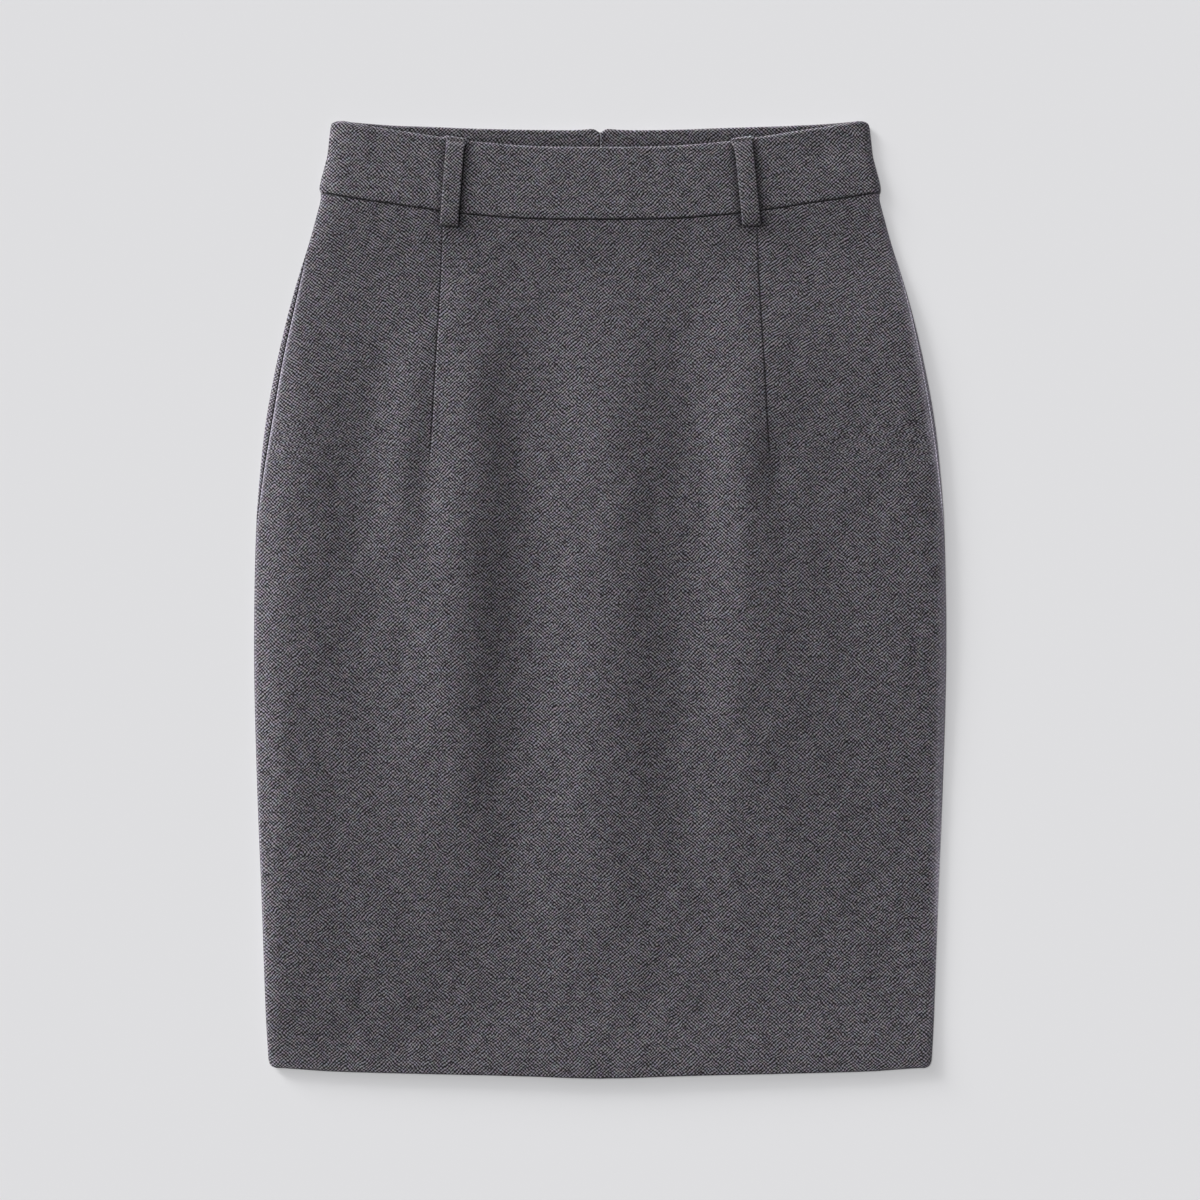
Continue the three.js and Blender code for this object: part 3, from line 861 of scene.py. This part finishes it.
def belt_loop(name, hand):
    """A belt loop: a folded strip that bows up from the band between its two sewn ends."""
    side = side_of(hand)
    along = np.linspace(0, 1, LOOP_LENGTH_CELLS + 1)
    top = np.array([side * LOOP_TOP[hand], TOP_LEVEL - LOOP_TOP["down"]])
    end = np.array([side * LOOP_END[hand], TOP_LEVEL - LOOP_END["down"]])
    length = np.linalg.norm(end - top)
    down_it = (end - top) / length
    across_it = np.array([-down_it[1], down_it[0]])
    across = np.sin(np.linspace(-math.pi / 2, math.pi / 2, LOOP_WIDTH_CELLS + 1)) * LOOP_WIDTH / 2
    centre = top[None] + (end - top)[None] * along[:, None]
    flare = LOOP_FLARE[hand] * bell(along * length, LOOP_FLARE["reach"])[:, None]
    inwards = (0.5 - across_it[0] * side * across / LOOP_WIDTH)[None, :]
    spread = across[None, :] - side * across_it[0] * flare * inwards
    flat = centre[:, None, :] + across_it[None, None, :] * spread[:, :, None]
    under = band_face(flat[:, :, 0], 0) + read(LOOP_RISE, "along", "lift", along)[:, None]
    radius = LOOP_THICK / 2
    to_side = turned_edge(LOOP_WIDTH / 2 - np.abs(across), LOOP_TURN)[None, :]
    to_end = turned_edge(np.minimum(along, 1 - along) * length, LOOP_TURN)[:, None]
    keep = to_side * to_end
    crown = LOOP_CROWN * (1 - (across / (LOOP_WIDTH / 2)) ** 2)[None, :]
    middle = under + radius
    outer = np.dstack([flat, middle + (radius + crown) * keep])
    inner = np.dstack([flat, middle - radius * keep])
    from_top, from_end = (along * length)[:, None], ((1 - along) * length)[:, None]
    to_right = across * np.sign(across_it[0])
    from_right, from_left = (LOOP_WIDTH / 2 - to_right)[None, :], (LOOP_WIDTH / 2 + to_right)[None, :]
    # Painted shadow at the top fold, the lower end and the right edge, less a painted highlight at the left
    # edge and the bend
    at_right = LOOP_RIGHT_SHADOW["share"] * fading(from_right, LOOP_RIGHT_SHADOW["reach"])
    at_left = LOOP_LEFT_HIGHLIGHT[hand] * bell(from_left, LOOP_LEFT_HIGHLIGHT["reach"])
    bent = LOOP_BEND_HIGHLIGHT["share"] * bell(from_top - LOOP_BEND_HIGHLIGHT["down"], LOOP_BEND_HIGHLIGHT["reach"])
    at_top = LOOP_TOP_SHADOW["share"] * bell(from_top, LOOP_TOP_SHADOW["reach"])
    at_end = LOOP_END_SHADOW["share"] * fading(from_end, LOOP_END_SHADOW["reach"])
    painted_shading = np.maximum(np.maximum(at_top, at_end), at_right) - at_left - bent
    looks = {"painted_shading": painted_shading, "slant": 0.0}
    return wall_mesh(name, outer, inner, (flat[:, :, 0], flat[:, :, 1]), looks, straight_grain)


def linear(hex_colour):
    """An sRGB hex colour as linear red, green, blue and alpha."""
    channels = [int(hex_colour[k : k + 2], 16) / 255 for k in (1, 3, 5)]
    return [c / 12.92 if c <= 0.04045 else ((c + 0.055) / 1.055) ** 2.4 for c in channels] + [1]


def node(tree, kind, settings=None, links=None, output=0):
    """Adds a node with its settings, links its inputs or sets them, and gives one of its outputs."""
    made = tree.nodes.new(kind)
    for key, value in (settings or {}).items():
        setattr(made, key, value)
    for key, value in (links or {}).items():
        if isinstance(value, bpy.types.NodeSocket):
            tree.links.new(value, made.inputs[key])
        else:
            made.inputs[key].default_value = value
    return made.outputs[output]


# Bird's-eye double knit: a pale and a dark stitch take 2.5 mm across and two rows of them 2.28 mm, pale
# and dark in turn both ways, so the cloth reads as fine diagonal rows of dots
REPEAT = {"across": 2.5, "along": 2.28}

# Sizes of what varies in the knit, how far a stitch wanders, and how a streak is drawn out across the cloth
GRAIN = {"wander": 7, "patches": 11, "stitches": 1.3, "streaks": 2.4, "flecks": 4}
WANDER_BY = 1.9
STREAK_STRETCH = 0.28

# Colours of the dark yarn, the painted highlight on rolled and folded edges, and the soft sheen
DARK_YARN = "#0b0a0c"
PAINTED_HIGHLIGHT = "#55525a"
SHEEN_TINT = "#d8d5dc"

# Painted shade and highlight by facing: cloth that faces mostly to the left and a little towards the waist is
# painted paler and cloth that faces away is painted darker, by these amounts and over this range. On an
# upright side the painted highlight is held back.
FACING_LIGHT = (-0.95, 0.3, 0.0)
FACING_SHADE = 0.4
FACING_HIGHLIGHT = 1.3
FACING_RANGE = {"darkest": -0.13, "palest": 0.42}
UPRIGHT_SHADE = {"begin": 0.5, "full": 0.95, "share": 0.5}

# Kinds of shader nodes that are used often
SUM = "ShaderNodeMath"
VECTOR = "ShaderNodeVectorMath"
NOISE = "ShaderNodeTexNoise"
FLAT = {"noise_dimensions": "2D"}


def knit_material(name, pale_yarn, facing_paint_share):
    """Heathered bird's-eye double knit: matte, with rounded stitches, a soft sheen, and painted shade and
    painted highlights.
    """
    material = bpy.data.materials.new(name)
    material.use_nodes = True
    tree = material.node_tree
    shader = tree.nodes["Principled BSDF"]
    knit = node(tree, "ShaderNodeUVMap", {"uv_map": "knit"})

    # No two stitches are quite alike in size, so the rows wander a little
    wander = {"Vector": knit, "Scale": 1 / (GRAIN["wander"] * MM), "Detail": 1.0}
    wander = node(tree, NOISE, FLAT, wander, "Color")
    wander = node(tree, VECTOR, {"operation": "SUBTRACT"}, {0: wander, 1: (0.5, 0.5, 0.5)})
    wander = node(tree, VECTOR, {"operation": "SCALE"}, {0: wander, "Scale": WANDER_BY * MM})
    placed = node(tree, VECTOR, {"operation": "ADD"}, {0: knit, 1: wander})
    turns = tuple(math.tau / (REPEAT[way] * MM) for way in ("across", "along"))
    placed = node(tree, VECTOR, {"operation": "MULTIPLY"}, {0: placed, 1: (*turns, 0)})
    across = node(tree, "ShaderNodeSeparateXYZ", {}, {0: placed}, "X")
    along = node(tree, "ShaderNodeSeparateXYZ", {}, {0: placed}, "Y")

    # Pale and dark stitches take turns, which makes one row of dots rising and one falling
    rising = node(tree, SUM, {"operation": "SUBTRACT"}, {0: across, 1: along})
    rising = node(tree, SUM, {"operation": "SINE"}, {0: rising})
    falling = node(tree, SUM, {"operation": "ADD"}, {0: across, 1: along})
    falling = node(tree, SUM, {"operation": "SINE"}, {0: falling})

    # The dots join up along one diagonal or the other in soft patches
    patches = {"Vector": knit, "Scale": 1 / (GRAIN["patches"] * MM), "Detail": 2.0, "Roughness": 0.6}
    patches = node(tree, NOISE, FLAT, patches)
    ease = {"interpolation_type": "SMOOTHSTEP"}
    lean = {"Value": patches, "From Min": 0.36, "From Max": 0.64, "To Min": 0.38, "To Max": 0.62}
    lean = node(tree, "ShaderNodeMapRange", ease, lean)
    slant = node(tree, "ShaderNodeAttribute", {"attribute_name": "slant"}, {}, "Fac")
    lean = node(tree, SUM, {"operation": "ADD", "use_clamp": True}, {0: lean, 1: slant})
    falling = node(tree, SUM, {"operation": "MULTIPLY"}, {0: falling, 1: lean})
    other = node(tree, SUM, {"operation": "SUBTRACT"}, {0: 1.0, 1: lean})
    dots = node(tree, SUM, {"operation": "MULTIPLY_ADD"}, {0: rising, 1: other, 2: falling})

    # Each stitch takes its own shade from the mixed fibres of its yarn
    stitches = node(tree, NOISE, FLAT, {"Vector": knit, "Scale": 1 / (GRAIN["stitches"] * MM), "Detail": 1.0})
    stitches = node(tree, SUM, {"operation": "SUBTRACT"}, {0: stitches, 1: 0.5})

    # The yarn runs across the cloth, so its paler and darker lengths show as short streaks
    stretched = {0: knit, 1: (STREAK_STRETCH, 1, 1)}
    stretched = node(tree, VECTOR, {"operation": "MULTIPLY"}, stretched)
    streaks = {"Vector": stretched, "Scale": 1 / (GRAIN["streaks"] * MM), "Detail": 2.0, "Roughness": 0.6}
    streaks = node(tree, NOISE, FLAT, streaks)
    streaks = node(tree, SUM, {"operation": "SUBTRACT"}, {0: streaks, 1: 0.5})

    fullness = node(tree, SUM, {"operation": "MULTIPLY_ADD"}, {0: stitches, 1: 3.2, 2: 1.3})
    dots = node(tree, SUM, {"operation": "MULTIPLY"}, {0: dots, 1: fullness})
    relief = node(tree, SUM, {"operation": "MULTIPLY_ADD"}, {0: stitches, 1: 1.3, 2: dots})
    shade = node(tree, SUM, {"operation": "MULTIPLY_ADD"}, {0: streaks, 1: 1.1, 2: relief})
    shade = node(tree, SUM, {"operation": "MULTIPLY_ADD", "use_clamp": True}, {0: shade, 1: 0.6, 2: 0.46})
    shade = node(tree, SUM, {"operation": "POWER"}, {0: shade, 1: 1.6})
    yarns = {"Factor": shade, 6: linear(DARK_YARN), 7: linear(pale_yarn)}
    colour = node(tree, "ShaderNodeMix", {"data_type": "RGBA"}, yarns, 2)

    # Flecks of warmer and cooler fibre
    flecks = {"Vector": knit, "Scale": 1 / (GRAIN["flecks"] * MM), "Detail": 1.5}
    flecks = node(tree, NOISE, FLAT, flecks, "Color")
    tint = {"data_type": "RGBA", "blend_type": "OVERLAY"}
    colour = node(tree, "ShaderNodeMix", tint, {"Factor": 0.16, 6: colour, 7: flecks}, 2)

    # Painted shade darkens sewn lines, creases and the cloth beside the loops by this attribute, and where it
    # is below 0 a painted highlight lightens rolled and folded edges
    painted_shading = node(tree, "ShaderNodeAttribute", {"attribute_name": "painted_shading"}, {}, "Fac")
    shade_factor = node(tree, SUM, {"operation": "SUBTRACT", "use_clamp": True}, {0: 1.0, 1: painted_shading})
    colour = node(tree, VECTOR, {"operation": "SCALE"}, {0: colour, "Scale": shade_factor})
    # Where the attribute is below 0 it paints a highlight: the highlight colour is added in that measure
    raised = node(tree, SUM, {"operation": "MULTIPLY"}, {0: painted_shading, 1: -1.0})
    raised = node(tree, SUM, {"operation": "MAXIMUM"}, {0: raised, 1: 0.0})
    highlight = {0: linear(PAINTED_HIGHLIGHT)[:3], "Scale": raised}
    highlight = node(tree, VECTOR, {"operation": "SCALE"}, highlight)
    colour = node(tree, VECTOR, {"operation": "ADD"}, {0: colour, 1: highlight})

    # Painted shade and highlight by facing: cloth that faces the upper left is painted paler, and cloth that
    # faces away is painted darker
    facing = node(tree, "ShaderNodeTexCoord", {}, {}, "Normal")
    toward_light = node(tree, VECTOR, {"operation": "DOT_PRODUCT"}, {0: facing, 1: FACING_LIGHT}, "Value")
    facing_paint = {"Value": toward_light, "From Min": FACING_RANGE["darkest"], "From Max": FACING_RANGE["palest"]}
    facing_paint.update({"To Min": 1 - FACING_SHADE * facing_paint_share, "To Max": 1 + FACING_HIGHLIGHT * facing_paint_share})
    facing_paint = node(tree, "ShaderNodeMapRange", {}, facing_paint)
    colour = node(tree, VECTOR, {"operation": "SCALE"}, {0: colour, "Scale": facing_paint})

    # On an upright side facing the upper left the painted highlight is held back
    upright = {"Value": toward_light, "From Min": UPRIGHT_SHADE["begin"], "From Max": UPRIGHT_SHADE["full"]}
    upright.update({"To Min": 1.0, "To Max": UPRIGHT_SHADE["share"]})
    upright = node(tree, "ShaderNodeMapRange", {}, upright)
    colour = node(tree, VECTOR, {"operation": "SCALE"}, {0: colour, "Scale": upright})

    bump = {"Strength": 0.3, "Distance": 0.25 * MM, "Height": relief}
    bump = node(tree, "ShaderNodeBump", {}, bump)
    tree.links.new(colour, shader.inputs["Base Color"])
    tree.links.new(bump, shader.inputs["Normal"])
    shader.inputs["Roughness"].default_value = 0.95
    shader.inputs["IOR"].default_value = 1.5
    shader.inputs["Specular IOR Level"].default_value = 0.2
    shader.inputs["Sheen Weight"].default_value = 0.45
    shader.inputs["Sheen Roughness"].default_value = 0.4
    shader.inputs["Sheen Tint"].default_value = linear(SHEEN_TINT)
    return material


# The floor: half its width, and how far it lies below the skirt
FLOOR_HALF = 20.0
FLOOR_DROP = 0.0003


def painted_board(name, colour):
    """Matte paint on a board: an even pale floor with no gloss."""
    material = bpy.data.materials.new(name)
    material.use_nodes = True
    shader = material.node_tree.nodes["Principled BSDF"]
    shader.inputs["Base Color"].default_value = linear(colour)
    shader.inputs["Roughness"].default_value = 1.0
    shader.inputs["Specular IOR Level"].default_value = 0.0
    return material


def floor():
    """The pale floor that the skirt lies on."""
    mesh = bpy.data.meshes.new("floor")
    corners = [(FLOOR_HALF * x, FLOOR_HALF * y) for x, y in ((-1, -1), (1, -1), (1, 1), (-1, 1))]
    mesh.from_pydata([(x, y, -FLOOR_DROP) for x, y in corners], [], [(0, 1, 2, 3)])
    mesh.materials.append(painted_board("floor_paint", "#e8e8ea"))
    plane = bpy.data.objects.new("floor", mesh)
    bpy.context.scene.collection.objects.link(plane)
    return plane


# The camera looks straight down. At this distance the photograph's frame is 780 mm wide.
FRAME_WIDTH = 0.780
FRAME_MIDDLE_Y = -0.00026
LENS = 100.0
SENSOR = 36.0
FACE_LEVEL = 0.005
FAR_LIMIT = 50


def camera():
    """A camera over the middle of the skirt, looking straight down."""
    data = bpy.data.cameras.new("camera")
    data.lens = LENS
    data.sensor_width = SENSOR
    made = bpy.data.objects.new("camera", data)
    made.location = (0, FRAME_MIDDLE_Y, FRAME_WIDTH * LENS / SENSOR + FACE_LEVEL)
    data.clip_end = FAR_LIMIT
    bpy.context.scene.collection.objects.link(made)
    bpy.context.scene.camera = made


# Light: a soft light nearly straight above, two low ones from the upper left, and a faint even room
ROOM_LIGHT = 0.07
LIGHTS = {
    "top_light": {"power": 1.77, "spread": math.radians(16), "height": math.radians(78)},
    "side_light": {"power": 0.66, "spread": math.radians(32), "height": math.radians(30)},
    "low_light": {"power": 2.2, "spread": math.radians(20), "height": math.radians(15)},
}
UPPER_LEFT = math.radians(135)


def soft_sun(name, power, spread, turn):
    """A broad distant light, turned to shine from its place."""
    data = bpy.data.lights.new(name, "SUN")
    data.energy = power
    data.angle = spread
    sun = bpy.data.objects.new(name, data)
    sun.rotation_euler = turn
    bpy.context.scene.collection.objects.link(sun)


def lights():
    """The room's faint light and three soft suns."""
    world = bpy.data.worlds.new("room")
    world.use_nodes = True
    background = world.node_tree.nodes["Background"]
    background.inputs["Color"].default_value = (1, 1, 1, 1)
    background.inputs["Strength"].default_value = ROOM_LIGHT
    bpy.context.scene.world = world
    for name, light in LIGHTS.items():
        lean = (0, math.pi / 2 - light["height"], UPPER_LEFT)
        soft_sun(name, light["power"], light["spread"], lean)
    bpy.context.scene.view_settings.view_transform = "Standard"


def dress(piece, node_name, material):
    """Gives a piece its material, attaches it to the root body and hides the model part that it stands in
    for.
    """
    piece.data.materials.append(material)
    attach(piece, "root")
    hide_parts(node_name)


camera()
lights()
ground = floor()

panel_knit = knit_material("birdseye_double_knit", "#89858d", 1.0)
band_knit = knit_material("two_ply_double_knit", "#8f8b93", 1.0)
loop_knit = knit_material("narrow_double_knit", "#908c93", 0.25)

back_left = back_panel("back_panel_left", "left")
back_right = back_panel("back_panel_right", "right")
front = front_panel()
band_left = back_band("back_waistband_left", "left")
band_right = back_band("back_waistband_right", "right")
band = front_band()
loops = [belt_loop("loop_left", "left"), belt_loop("loop_right", "right")]

dress(back_left, "skirt_back_left", panel_knit)
dress(back_right, "skirt_back_right", panel_knit)
dress(front, "skirt_front", panel_knit)
dress(band_left, "waistband_back_left", band_knit)
dress(band_right, "waistband_back_right", band_knit)
dress(band, "waistband_front", band_knit)
for loop, node_name in zip(loops, ("belt_loop_left", "belt_loop_right")):
    dress(loop, node_name, loop_knit)
